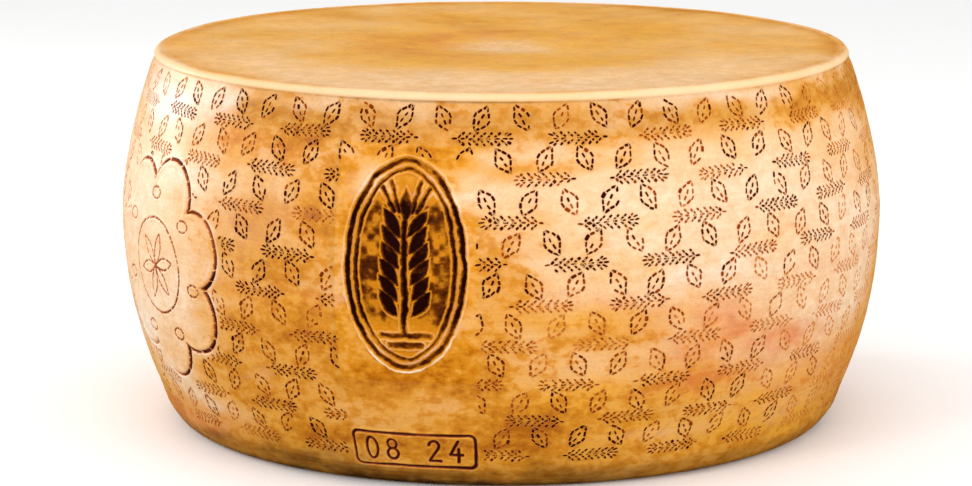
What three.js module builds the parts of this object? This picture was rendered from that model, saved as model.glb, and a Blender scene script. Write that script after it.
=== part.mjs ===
import * as THREE from 'three';

// A whole wheel of hard, grained cheese, lying on its lower face.
// Millimetres, +Z up. The origin is the middle of the lower face.

// Driving dimensions. The edge diameters are taken where the side meets each rounded rim.
const bellyDiameter = 410;
const wheelHeight = 201;
const topEdgeDiameter = 373;
const bottomEdgeDiameter = 358;
const topRimRadius = 4.5;
const bottomRimRadius = 11;
const topFaceDish = 1.5;

// The belly is a little above half height. The side falls away from it by a power of the
// distance, and leans in by these angles where the two rims begin, so each rim is tangent.
const bellyHeight = 0.577 * wheelHeight;
const upperBulgePower = 1.6;
const lowerBulgePower = 2.17;
const topLean = THREE.MathUtils.degToRad(19);
const bottomLean = THREE.MathUtils.degToRad(27);

// Fineness of the turned surface.
const turnSegments = 96;
const sideSteps = 17;
const topRimSteps = 3;
const bottomRimSteps = 4;
const topFaceSteps = 4;

const bellyRadius = bellyDiameter / 2;
const topEdgeRadius = topEdgeDiameter / 2;
const bottomEdgeRadius = bottomEdgeDiameter / 2;
const sideTop = wheelHeight - topRimRadius * (1 - Math.sin(topLean));
const sideBottom = bottomRimRadius * (1 - Math.sin(bottomLean));
const topFaceRadius = topEdgeRadius - topRimRadius * Math.cos(topLean);
const bottomFaceRadius = bottomEdgeRadius - bottomRimRadius * Math.cos(bottomLean);

const rind = new THREE.MeshStandardMaterial({ color: 0xe2a864, roughness: 0.5, metalness: 0 });

// Radius of the side at a height between the two rims.
function sideRadius(height) {
  if (height > bellyHeight) {
    const share = (height - bellyHeight) / (sideTop - bellyHeight);
    return bellyRadius - (bellyRadius - topEdgeRadius) * share ** upperBulgePower;
  }
  const share = (bellyHeight - height) / (bellyHeight - sideBottom);
  return bellyRadius - (bellyRadius - bottomEdgeRadius) * share ** lowerBulgePower;
}

// Arc from the flat lower face out to where it is tangent to the side.
function bottomRim() {
  const points = [];
  for (let step = 0; step < bottomRimSteps; step += 1) {
    const angle = THREE.MathUtils.lerp(Math.PI / 2, bottomLean, step / bottomRimSteps);
    const radius = bottomFaceRadius + bottomRimRadius * Math.cos(angle);
    const height = bottomRimRadius * (1 - Math.sin(angle));
    points.push(new THREE.Vector2(radius, height));
  }
  return points;
}

// The side, from the lower rim over the belly to the upper rim.
function side() {
  const points = [];
  for (let step = 0; step <= sideSteps; step += 1) {
    const height = THREE.MathUtils.lerp(sideBottom, sideTop, step / sideSteps);
    points.push(new THREE.Vector2(sideRadius(height), height));
  }
  return points;
}

// Arc from the side in to the upper face.
function topRim() {
  const points = [];
  for (let step = 1; step <= topRimSteps; step += 1) {
    const angle = THREE.MathUtils.lerp(topLean, Math.PI / 2, step / topRimSteps);
    const radius = topFaceRadius + topRimRadius * Math.cos(angle);
    const height = wheelHeight - topRimRadius * (1 - Math.sin(angle));
    points.push(new THREE.Vector2(radius, height));
  }
  return points;
}

// The upper face sinks by a raised cosine towards its middle, and ends on the axis.
function topFace() {
  const points = [];
  for (let step = 1; step <= topFaceSteps; step += 1) {
    const share = 1 - step / topFaceSteps;
    const sunk = (topFaceDish / 2) * (1 + Math.cos(Math.PI * share));
    points.push(new THREE.Vector2(topFaceRadius * share, wheelHeight - sunk));
  }
  return points;
}

// The profile starts and ends on the axis and is turned about it.
function cheeseWheel() {
  const lowerMiddle = new THREE.Vector2(0, 0);
  const profile = [lowerMiddle, ...bottomRim(), ...side(), ...topRim(), ...topFace()];
  const geometry = new THREE.LatheGeometry(profile, turnSegments);
  geometry.rotateX(Math.PI / 2);
  const mesh = new THREE.Mesh(geometry, rind);
  mesh.name = 'cheese_wheel';
  return mesh;
}

const group = new THREE.Group();
group.add(cheeseWheel());

export default group;
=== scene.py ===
# A whole wheel of hard, grained cheese: its rind, rows of dashed marks pressed by the mould,
# a burned stamp, a pressed rosette and a numbered box. Names that end in Mm are millimetres,
# angles in the dictionaries are degrees unless a note says radians, and the rest is in metres.
import math

import bpy
import numpy as np
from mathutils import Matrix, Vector


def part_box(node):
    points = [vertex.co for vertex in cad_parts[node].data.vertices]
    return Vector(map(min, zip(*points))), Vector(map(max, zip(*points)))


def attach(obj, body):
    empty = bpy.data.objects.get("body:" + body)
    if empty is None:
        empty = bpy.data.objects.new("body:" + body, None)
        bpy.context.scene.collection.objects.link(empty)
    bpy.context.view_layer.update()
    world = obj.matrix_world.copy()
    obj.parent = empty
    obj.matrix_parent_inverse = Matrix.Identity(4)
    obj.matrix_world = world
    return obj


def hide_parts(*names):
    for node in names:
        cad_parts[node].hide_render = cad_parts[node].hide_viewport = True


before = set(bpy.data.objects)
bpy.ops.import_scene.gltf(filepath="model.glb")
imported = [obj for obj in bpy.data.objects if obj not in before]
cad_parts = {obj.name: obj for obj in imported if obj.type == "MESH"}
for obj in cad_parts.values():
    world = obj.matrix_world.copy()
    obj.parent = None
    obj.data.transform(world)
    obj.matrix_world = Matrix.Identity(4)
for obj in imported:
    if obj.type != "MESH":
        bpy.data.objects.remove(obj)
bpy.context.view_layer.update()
mm = 0.001

wheelShape = {
    "topEdge": 0.910,        # radius where the side meets the upper rim, as a share of the belly's
    "bottomEdge": 0.873,     # the same at the lower rim
    "bellyAt": 0.577,        # height of the belly, as a share of the wheel's
    "topRimMm": 4.5,
    "bottomRimMm": 11.0,
    "topLean": 19.0,         # how far the side leans in where each rim begins
    "bottomLean": 27.0,
    "upperPower": 1.6,
    "lowerPower": 2.17,
    "dishMm": 1.5,           # how far the middle of the upper face has sunk
}

lowCorner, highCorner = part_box("cheese_wheel")
bellyRadius = (highCorner.x - lowCorner.x) / 2
wheelHeight = highCorner.z - lowCorner.z
bellyRadiusMm = bellyRadius / mm
wheelHeightMm = wheelHeight / mm


def smoothStep(low, high, value):
    # 0 below low, 1 above high, and 3p^2 - 2p^3 of the share p between them
    share = np.clip((value - low) / (high - low), 0, 1)
    return share * share * (3 - 2 * share)


def bell(value, middle, width):
    # 1 at the middle, 0.37 at a width from it
    return np.exp(-((value - middle) / width) ** 2)


def latticeValue(cell, seed):
    # a fixed random number from -1 to 1 for each whole-number corner of the lattice
    mixed = cell[..., 0] * 73856093 ^ cell[..., 1] * 19349663 ^ cell[..., 2] * 83492791
    mixed = (mixed + seed * 668265263) & 0xFFFFFFFF
    mixed = ((mixed >> 15) ^ mixed) * 2246822519 & 0xFFFFFFFF
    mixed = ((mixed >> 13) ^ mixed) * 3266489917 & 0xFFFFFFFF
    return ((mixed >> 16) ^ mixed) / 0x7FFFFFFF - 1


def cloud(places, size, seed):
    # soft noise: lattice values at the eight corners round a place, blended by smooth steps
    scaled = np.asarray(places) / np.asarray(size)
    cell = np.floor(scaled).astype(np.int64)
    share = scaled - cell
    share = share * share * (3 - 2 * share)
    total = 0
    for corner in np.ndindex(2, 2, 2):
        weight = np.prod(np.where(np.array(corner), share, 1 - share), axis=-1)
        total = total + latticeValue(cell + np.array(corner), seed) * weight
    return total


def wheelProfile(shape):
    # Radius and height from the lower middle to the upper middle: a flat face, an arc tangent
    # to the side, the side as the belly radius less a power of the distance from the belly,
    # a second arc, and a face that sinks by a raised cosine.
    topLean = math.radians(shape["topLean"])
    bottomLean = math.radians(shape["bottomLean"])
    topRim = shape["topRimMm"] * mm
    bottomRim = shape["bottomRimMm"] * mm
    topEdge = shape["topEdge"] * bellyRadius
    bottomEdge = shape["bottomEdge"] * bellyRadius
    belly = shape["bellyAt"] * wheelHeight
    sideTop = wheelHeight - topRim * (1 - math.sin(topLean))
    sideBottom = bottomRim * (1 - math.sin(bottomLean))
    topFace = topEdge - topRim * math.cos(topLean)
    bottomFace = bottomEdge - bottomRim * math.cos(bottomLean)

    outward = np.linspace(0, 1, 400)[:-1]
    turn = np.linspace(math.pi / 2, bottomLean, 200)[:-1]
    lower = np.stack([bottomFace + bottomRim * np.cos(turn), bottomRim * (1 - np.sin(turn))], 1)
    height = np.linspace(sideBottom, sideTop, 1600)
    above = np.clip((height - belly) / (sideTop - belly), 0, 1) ** shape["upperPower"]
    below = np.clip((belly - height) / (belly - sideBottom), 0, 1) ** shape["lowerPower"]
    radius = bellyRadius - (bellyRadius - topEdge) * above - (bellyRadius - bottomEdge) * below
    turn = np.linspace(topLean, math.pi / 2, 200)[1:]
    upper = np.stack([topFace + topRim * np.cos(turn), wheelHeight - topRim * (1 - np.sin(turn))], 1)
    inward = np.linspace(1, 0, 400)[1:]
    sunk = shape["dishMm"] * mm / 2 * (1 + np.cos(math.pi * inward))
    return np.concatenate([
        np.stack([bottomFace * outward, 0 * outward], 1),
        lower,
        np.stack([radius, height], 1),
        upper,
        np.stack([topFace * inward, wheelHeight - sunk], 1),
    ])


profile = wheelProfile(wheelShape)
profileLength = np.concatenate([[0], np.cumsum(np.linalg.norm(np.diff(profile, axis=0), axis=1))])
profileTangent = np.gradient(profile, profileLength, axis=0)
sideStart = int(np.argmax(profile[:, 1] > 0.0001))
sideEnd = int(np.argmax(profile[:, 1] >= profile[:, 1].max() - 0.00005))


def lengthAtHeight(height):
    # distance along the profile at which the side reaches a height
    side = slice(sideStart, sideEnd)
    return np.interp(height, profile[side, 1], profileLength[side])


def alongProfile(length, values):
    # values given at the profile's points, read at a distance along it
    return np.interp(length, profileLength, values)


def baseSurface(angle, length):
    # The profile turned about the axis: the angle is 0 at the front and grows to the right
    radius, height = alongProfile(length, profile[:, 0]), alongProfile(length, profile[:, 1])
    outR, outZ = alongProfile(length, profileTangent[:, 1]), -alongProfile(length, profileTangent[:, 0])
    sine, cosine = np.sin(angle), -np.cos(angle)
    places = np.stack(np.broadcast_arrays(radius * sine, radius * cosine, height), -1)
    normals = np.stack(np.broadcast_arrays(outR * sine, outR * cosine, outZ), -1)
    return places, normals


bandJoint = {"angle": -24.0, "lowMm": 45.0, "highMm": 190.0, "stepMm": 0.4}
rimLip = {"startMm": 197.4, "endMm": 198.0, "proudMm": 0.6, "innerMm": 183.4, "hollowMm": 0.35}
foot = {"heightMm": 12.0, "widthMm": 5.0, "proudMm": 0.9}
middleMark = {"radiusMm": 34.0, "stepMm": 0.35}
unevenness = {"swellMm": 0.6, "rippleMm": 0.1}


def relief(angle, places):
    # Height of the rind over the turned surface: slow swellings and finer ripples, a foot above
    # the lower rim, a proud upper rim over a hollow, the step where the mould's band joined and
    # a shallow round mark in the middle of the upper face. It fades out on the flat lower face.
    height = places[..., 2] / mm
    outMm = np.hypot(places[..., 0], places[..., 1]) / mm
    swell = unevenness["swellMm"] * (cloud(places, 0.13, 1) + 0.5 * cloud(places, 0.05, 2))
    ripple = cloud(places, (0.02, 0.02, 0.009), 3) + 0.5 * cloud(places, (0.009, 0.009, 0.005), 4)
    ripple = unevenness["rippleMm"] * ripple
    footing = foot["proudMm"] * bell(height, foot["heightMm"], foot["widthMm"])
    edge = rimLip["proudMm"] * smoothStep(rimLip["startMm"], rimLip["endMm"], height)
    edge = edge * smoothStep(rimLip["innerMm"] - 1.5, rimLip["innerMm"] + 0.5, outMm)
    hollow = -rimLip["hollowMm"] * bell(height, rimLip["startMm"] - 2.7, 2.0)
    fromJoint = (angle - math.radians(bandJoint["angle"])) * bellyRadiusMm
    joint = bandJoint["stepMm"] * smoothStep(-0.8, 0.8, fromJoint) * smoothStep(60, 25, fromJoint)
    joint = joint * smoothStep(0, 25, height - bandJoint["lowMm"])
    joint = joint * smoothStep(0, 12, bandJoint["highMm"] - height)
    plate = middleMark["stepMm"] * (smoothStep(-1.2, 1.2, outMm - middleMark["radiusMm"]) - 1)
    plate = np.where(height > wheelHeightMm / 2, plate, 0)
    return (swell + ripple + footing + edge + hollow + joint + plate) * smoothStep(0, 9, height) * mm


def rindSurface(angle, length, lift=0.0):
    # The turned surface moved out along its normal by its relief and a given lift
    places, normals = baseSurface(angle, length)
    return places + normals * (relief(angle, places) + lift)[..., None]


# by kind: angle, height in mm, half width as an angle, half height in mm, strength
stainSpots = {
    "amber": [
        (-28, 190, 9, 7, 0.5), (-36, 186, 7, 9, 0.3), (-7, 191, 4, 6, 0.5), (4, 188, 10, 9, 0.5),
        (33, 187, 5, 7, 0.6), (50, 186, 9, 7, 0.75), (66, 187, 9, 7, 0.75), (80, 180, 8, 14, 0.7),
        (20, 187, 7, 7, 0.5), (-25.5, 138, 4, 8, 0.7), (-2, 139, 4, 7, 0.6), (-34, 108, 9, 11, 0.85),
        (-46, 116, 9, 10, 0.35), (-49, 99, 7, 9, 0.3), (-37, 82, 12, 6, 0.7), (-24, 84, 5, 7, 0.5),
        (-13, 62, 14, 15, 0.9), (-3, 76, 7, 9, 0.45), (14, 79, 9, 5, 0.5), (30, 56, 10, 9, 0.4),
        (-28, 92, 5, 9, 0.5), (-44, 54, 7, 8, 0.5), (-34, 40, 10, 7, 0.4), (2, 37, 8, 6, 0.6),
        (22, 34, 10, 5, 0.35), (60, 50, 10, 18, 0.2), (73, 90, 8, 60, 0.25), (-15, 143, 11, 12, 0.25),
        (-14, 118, 12, 34, 0.45), (-26, 24, 8, 7, 0.5), (-9, 176, 13, 9, 0.55), (-36, 140, 9, 14, 0.25),
        (-14, 150, 9, 30, 0.3), (-28, 161, 5, 7, 0.8), (0, 118, 5, 14, 0.6), (-2, 22, 7, 6, 0.4),
        (10, 163, 6, 6, 0.6), (-47, 172, 6, 6, 0.4), (12, 48, 12, 10, 0.25), (-14, 26, 12, 7, 0.35),
        (3, 28, 6, 12, 0.45), (-38, 174, 7, 8, 0.7), (-30, 179, 6, 6, 0.7), (-38, 134, 7, 9, 0.3),
        (20, 116, 7, 7, 0.3), (2, 46, 8, 8, 0.35), (11, 92, 8, 7, 0.3), (-34, 66, 9, 12, 0.3),
    ],
    "gold": [
        (-27, 92, 8, 10, 0.9), (12, 50, 16, 12, 0.7), (20, 116, 9, 8, 0.4), (-14, 24, 22, 9, 0.5),
        (52, 185, 22, 8, 0.5), (50, 22, 20, 9, 0.6), (20, 140, 8, 8, 0.4), (10, 92, 8, 8, 0.5),
        (31, 92, 8, 7, 0.4), (44, 42, 10, 8, 0.5), (-31, 182, 6, 6, 0.6),
    ],
    # painted sheen and painted light: the strong spots high up at -64 and -49 degrees and the tall one at -80
    # degrees paint the upper left and the left edge pale
    "cream": [
        (-64, 150, 10, 30, 0.6), (-66, 100, 11, 45, 0.65), (-22.5, 156, 3, 10, 0.6), (-26, 100, 3.5, 6, 0.5),
        (-15, 44, 8, 6, 0.3), (14, 140, 18, 22, 0.65), (40, 150, 22, 24, 0.75), (30, 112, 22, 18, 0.6),
        (62, 120, 14, 30, 0.7), (-52, 150, 7, 10, 0.8), (-38, 55, 5, 5, 0.6), (8, 60, 6, 7, 0.3),
        (24, 28, 18, 5, 0.5), (55, 28, 14, 7, 0.45), (-72, 190, 10, 12, 0.5), (-66, 62, 12, 20, 0.8),
        (58, 78, 16, 18, 0.9), (70, 110, 10, 40, 0.4), (34, 98, 20, 12, 0.3), (-64, 184, 9, 11, 1.8),
        (36, 194, 14, 3.5, 0.8), (-80, 120, 10, 60, 0.6), (-70, 66, 9, 12, 0.4), (50, 56, 14, 14, 0.5),
        (-57, 36, 9, 13, 0.9), (-52, 92, 9, 16, 0.8), (-38, 193, 8, 4, 0.5), (-38, 134, 13, 36, 0.5),
        (-46, 30, 10, 8, 0.4), (38, 66, 7, 8, 0.4), (-53, 76, 7, 9, 0.4), (-3, 152, 7, 8, 0.6),
        (2, 173, 8, 6, 0.4), (32, 112, 9, 9, 0.4), (-49, 188, 7, 10, 0.9),
    ],
    "pink": [
        (36, 74, 16, 12, 0.55), (47, 70, 9, 9, 0.6), (31, 56, 9, 8, 0.7), (54, 46, 12, 12, 0.45),
        (38, 84, 7, 7, 0.5), (72, 40, 10, 24, 0.35), (-60, 16, 13, 9, 0.9), (-34, 98, 10, 5, 0.3),
        (16, 100, 14, 6, 0.3), (58, 103, 16, 5, 0.3), (-37, 134, 8, 8, 0.4), (-38, 172, 6, 6, 0.4),
        (31, 90, 8, 6, 0.6), (-50, 176, 8, 8, 0.3),
    ],
    "grime": [
        (-52, 11, 9, 5, 0.35), (-32, 10, 12, 7, 0.4), (-14, 6, 16, 6, 0.3), (7, 14, 5, 7, 0.4),
        (26, 8, 10, 4, 0.25), (76, 12, 8, 9, 0.3), (58, 190, 10, 4, 0.15), (-37, 134, 8, 10, 0.12),
    ],
}
# Of these kinds, the rim's is a painted highlight on the rim's bevel, grime holds painted shade as well as
# dirt, and cream also carries painted sheen and painted highlights beside the larger marks.
stainKinds = ("amber", "cream", "gold", "pink", "grime", "rim", "plain")


def addSpots(fields, degrees, height, places, onSide):
    # Each listed spot is its strength times e^-(x^2 + y^2), x and y being the distances
    # from its middle in half widths and half heights. Noise moves the places and breaks up edges.
    wander = 5.5 * cloud(places, (0.03, 0.03, 0.012), 11) + 2.5 * cloud(places, (0.011, 0.011, 0.005), 12)
    climb = 5.0 * cloud(places, (0.035, 0.035, 0.02), 13) + 2.5 * cloud(places, (0.012, 0.012, 0.006), 14)
    for kind, spots in stainSpots.items():
        for spotAngle, spotHeight, halfWidth, halfHeight, strength in spots:
            across = (degrees + wander - spotAngle) / halfWidth
            up = (height + climb - spotHeight) / halfHeight
            fields[kind] += strength * np.exp(-(across ** 2 + up ** 2)) * onSide


def addBlotches(fields, degrees, height, places, onSide):
    # the same kinds of stain where no spots are placed, round the back, wherever noise is high
    away = smoothStep(76, 96, np.abs(degrees)) * onSide
    blotch = cloud(places, (0.07, 0.07, 0.03), 15) + 0.5 * cloud(places, (0.03, 0.03, 0.014), 16)
    high = bell(height, 189, 6) * np.clip(blotch + 0.5, 0, 0.6)
    fields["amber"] += away * (0.7 * np.clip(blotch, 0, 1) + high)
    fields["cream"] += away * 0.8 * np.clip(-blotch, 0, 1)
    fields["pink"] += away * 1.2 * np.clip(cloud(places, (0.08, 0.08, 0.04), 17) - 0.35, 0, 1)


sideBands = {
    "lowAmber": 0.16,        # strengths, the first five growing towards the foot
    "footAmber": 0.24,
    "lowGold": 0.3,
    "footGold": 0.4,
    # painted shade that grows towards the foot
    "footGrime": 0.22,
    "floorGrime": 0.78,      # painted shade just over the floor
    "seamGrime": 0.2,        # along the ends of the mould's band
    "shoulderGrime": 0.27,   # painted shade, a duller band below the upper rim
    # the paler, greyer part of that painted shade
    "shoulderCream": 0.12,
}


def addBands(fields, degrees, height, places, onSide):
    # Smooth steps of the height towards the foot, bells across both ends of the mould's band
    # and across the line under the upper rim, and a wide bell for the shoulder, which is
    # fainter at two places. The brown towards the foot and just over the floor is painted shade,
    # as are the dark line under the upper rim and the duller shoulder below it; the amber and
    # gold towards the foot are stains.
    band = sideBands
    amber = band["lowAmber"] * smoothStep(110, 40, height) + band["footAmber"] * smoothStep(48, 14, height)
    gold = band["lowGold"] * smoothStep(120, 60, height) + band["footGold"] * smoothStep(60, 20, height)
    # painted shade, darker towards the foot
    grime = band["footGrime"] * smoothStep(30 + 8 * cloud(places, (0.05, 0.05, 0.02), 18), 4, height)
    # painted shade just over the floor, strongest towards the front
    nearFloor = smoothStep(13, 1, height + 4 * cloud(places, 0.03, 24)) * (0.3 + 0.7 * bell(degrees, -6, 34))
    fromJoint = (degrees - bandJoint["angle"]) * math.radians(bellyRadiusMm)
    seam = bell(fromJoint, 0, 0.9) + 0.5 * bell(fromJoint, -38, 1.1)
    seam = seam * smoothStep(30, 60, height) * smoothStep(190, 170, height)
    # painted shade: a thin dark line in the crease under the upper rim's lip
    rimLineShade = bell(height, rimLip["startMm"] - 0.3, 0.6) * (0.12 + 0.5 * bell(degrees, -10, 26))
    rimLineShade = rimLineShade * (0.8 + 0.5 * cloud(places, 0.02, 21))
    # painted shade below the upper rim, weaker at -60 and at 56 degrees
    shoulderShadeBand = bell(height, 188, 10) * (1 - 0.9 * bell(degrees, -60, 14)) * (1 - 0.7 * bell(degrees, 56, 16))
    grime = grime + band["floorGrime"] * nearFloor + rimLineShade + band["shoulderGrime"] * shoulderShadeBand
    fields["amber"] += amber * onSide
    fields["gold"] += gold * onSide
    fields["grime"] += grime * onSide + band["seamGrime"] * seam
    fields["cream"] += band["shoulderCream"] * shoulderShadeBand * onSide


upperFace = {
    "centreMm": 44.0,        # where the pale middle begins
    "paleMm": 62.0,          # where the pale outer part begins
    "grooveMm": 177.5,       # the darker groove beside the rim
    "ringMm": 52.0,          # a rosy ring round the middle, stronger on one side
}


def addUpperFace(fields, angle, degrees, outMm, places, onTop):
    # Smooth steps and bells of the distance from the axis, shaken by noise: a pale middle and
    # outer part, a groove and a ring. It is painted lighter near the front and darker at the
    # back, as painted light and shade.
    centre = smoothStep(upperFace["centreMm"], 8, outMm + 9 * cloud(places, 0.03, 19))
    pale = smoothStep(upperFace["paleMm"], 140, outMm + 9 * cloud(places, 0.04, 22))
    pale = pale * (0.4 + 0.6 * smoothStep(120, 25, np.abs(degrees)))
    groove = bell(outMm, upperFace["grooveMm"], 4) * (0.7 + 0.3 * cloud(places, 0.03, 23))
    ring = bell(outMm + 12 * cloud(places, 0.05, 25), upperFace["ringMm"], 22)
    ring = ring * (0.55 + 0.45 * np.cos(angle + 1.9))
    # painted light and shade: lighter towards the front edge, darker towards the back
    paintedLightFront = smoothStep(70, 175, -places[..., 1] / mm)
    paintedShadeBack = smoothStep(50, 150, places[..., 1] / mm)
    amber = 0.08 + 0.22 * cloud(places, (0.09, 0.05, 1), 20) - 0.2 * pale + 0.4 * groove + 0.3 * ring
    cream = 0.6 * centre + 0.42 * pale - 0.5 * groove + 0.15 * paintedLightFront - 0.2 * paintedShadeBack
    gold = (0.9 - 0.35 * centre + 0.3 * ring) * (1 - 0.6 * pale) * (1 - 0.8 * groove)
    fields["amber"] += onTop * (amber + 0.14 * paintedShadeBack - 0.1 * paintedLightFront)
    fields["cream"] += onTop * cream
    fields["gold"] += onTop * gold
    fields["pink"] += onTop * (0.5 * ring + 0.25 * groove)


def stainFields(angle, places):
    # Strength of each kind of stain, painted shade and painted highlight on the side, the upper
    # face, the rim and the lower face, which is plain gold. The parts meet in smooth steps at both edges.
    height = places[..., 2] / mm
    outMm = np.hypot(places[..., 0], places[..., 1]) / mm
    degrees = np.degrees((angle + math.pi) % (2 * math.pi) - math.pi)
    upperHalf = height > wheelHeightMm / 2
    edge = np.where(upperHalf, 0.872, 0.835)
    onSide = smoothStep(-0.013, 0.013, outMm / bellyRadiusMm - edge) * smoothStep(199.5, 197.5, height)
    onTop = np.where(upperHalf, smoothStep(184, 180, outMm), 0)
    fields = {kind: np.zeros(height.shape) for kind in stainKinds}
    for addStains in (addSpots, addBlotches, addBands):
        addStains(fields, degrees, height, places, onSide)
    addUpperFace(fields, angle, degrees, outMm, places, onTop)
    fields["gold"] += 0.65 * np.where(upperHalf, 0, 1 - onSide)
    # painted highlight: the rim's bevel, and a little of the upper face beside it, is painted pale
    onRim = smoothStep(rimLip["startMm"] + 0.2, rimLip["endMm"], height)
    fields["rim"] = onRim * smoothStep(rimLip["innerMm"], rimLip["innerMm"] + 2.6, outMm)
    fields["plain"] = np.maximum(onTop, fields["rim"])
    return fields


def gridCorners(rows, columns, closed):
    # Row and column of each quad's four corners. On a closed grid the last quads' right-hand
    # corners have the column number that follows the last, so that maps don't fold back.
    across = columns if closed else columns - 1
    row, column = np.meshgrid(np.arange(rows - 1), np.arange(across), indexing="ij")
    row, column = row.reshape(-1, 1), column.reshape(-1, 1)
    return row + np.array([0, 0, 1, 1]), column + np.array([0, 1, 1, 0])


def gridFaces(rows, columns, closed):
    # the same corners as vertex numbers, counted row by row
    row, column = gridCorners(rows, columns, closed)
    return row * columns + column % columns


def addObject(name, data):
    # an object for a mesh, a lamp or a camera, put into the scene
    thing = bpy.data.objects.new(name, data)
    bpy.context.scene.collection.objects.link(thing)
    return thing


def makePiece(name, places, faces, material, fields, cornerMap):
    # One mesh from its places, its faces with three or four corners, its vertex fields and
    # the map through which its finish can be baked, given corner by corner
    mesh = bpy.data.meshes.new(name)
    corners = np.concatenate([part.ravel() for part in faces]).astype(np.int32)
    sizes = np.concatenate([np.full(len(part), part.shape[1]) for part in faces])
    starts = np.concatenate([[0], np.cumsum(sizes)[:-1]]).astype(np.int32)
    mesh.vertices.add(len(places))
    mesh.vertices.foreach_set("co", places.astype(np.float32).ravel())
    mesh.loops.add(len(corners))
    mesh.loops.foreach_set("vertex_index", corners)
    mesh.polygons.add(len(starts))
    mesh.polygons.foreach_set("loop_start", starts)
    mesh.update(calc_edges=True)
    mesh.shade_smooth()
    for label, values in fields.items():
        layer = mesh.attributes.new(label, "FLOAT", "POINT")
        layer.data.foreach_set("value", np.asarray(values, np.float32).ravel())
    layer = mesh.uv_layers.new(name="OFBake")
    spots = np.concatenate([part.reshape(-1, 2) for part in cornerMap])
    layer.data.foreach_set("uv", spots.astype(np.float32).ravel())
    mesh.materials.append(material)
    piece = addObject(name, mesh)
    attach(piece, "root")
    return piece


rindLook = {
    "cream": (252, 207, 158),
    "honey": (242, 172, 80),
    "gold": (250, 180, 56),
    "amber": (222, 142, 18),
    "deep": (176, 92, 0),
    "brown": (96, 56, 2),
    "pink": (232, 122, 74),
    "bloom": (255, 238, 219),
    "rim": (255, 218, 170),
    "pushedUp": (226, 144, 80),
}
inkLook = {"dark": (62, 8, 0), "rust": (152, 62, 2), "faded": (206, 118, 44)}
burnLook = {"char": (36, 4, 0), "scorch": (112, 50, 0), "toast": (212, 134, 20)}


def linear(screenColor):
    # a screen colour from 0 to 255 as the linear colour that shaders work in
    value = np.array(screenColor) / 255
    value = np.where(value < 0.04045, value / 12.92, ((value + 0.055) / 1.055) ** 2.4)
    return (*value.tolist(), 1.0)


class nodeBench:
    # short calls for adding nodes to one tree and joining them
    def __init__(self, tree):
        self.tree = tree

    def feed(self, socket, value):
        if isinstance(value, bpy.types.NodeSocket):
            self.tree.links.new(value, socket)
        else:
            socket.default_value = value

    def add(self, kind, inputs=None, **settings):
        # a shader node with its settings, then values or joins for its inputs by key
        node = self.tree.nodes.new("ShaderNode" + kind)
        for name, value in settings.items():
            setattr(node, name, value)
        for key, value in (inputs or {}).items():
            self.feed(node.inputs[key], value)
        return node

    def math(self, operation, first, second):
        return self.add("Math", {0: first, 1: second}, operation=operation).outputs[0]

    def times(self, first, second):
        return self.math("MULTIPLY", first, second)

    def sum(self, *terms):
        # terms are values, or pairs of a value and its weight
        total = None
        for term in terms:
            term = self.times(*term) if isinstance(term, tuple) else term
            total = term if total is None else self.math("ADD", total, term)
        return total

    def ramp(self, value, low, high, toLow=0.0, toHigh=1.0):
        inputs = dict(enumerate((value, low, high, toLow, toHigh)))
        return self.add("MapRange", inputs, interpolation_type="SMOOTHSTEP").outputs[0]

    def mix(self, share, first, second, blend="MIX"):
        inputs = {0: share, 6: first, 7: second}
        return self.add("Mix", inputs, data_type="RGBA", blend_type=blend).outputs[2]

    def paint(self, share, color, screenColor):
        return self.mix(share, color, linear(screenColor))

    def grey(self, value):
        return self.add("CombineColor", {0: value, 1: value, 2: value}).outputs[0]

    def noise(self, vector, scale, stretch=(1, 1, 1), detail=3.0, roughness=0.5, shift=0.0):
        moved = {"Vector": vector, "Scale": stretch, "Location": (shift, shift, shift)}
        inputs = {"Vector": self.add("Mapping", moved).outputs[0]}
        inputs.update(Scale=scale, Detail=detail, Roughness=roughness)
        return self.add("TexNoise", inputs).outputs[0]

    def attribute(self, name):
        return self.add("Attribute", attribute_name=name).outputs["Fac"]

    def place(self):
        return self.add("TexCoord").outputs["Object"]


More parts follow.
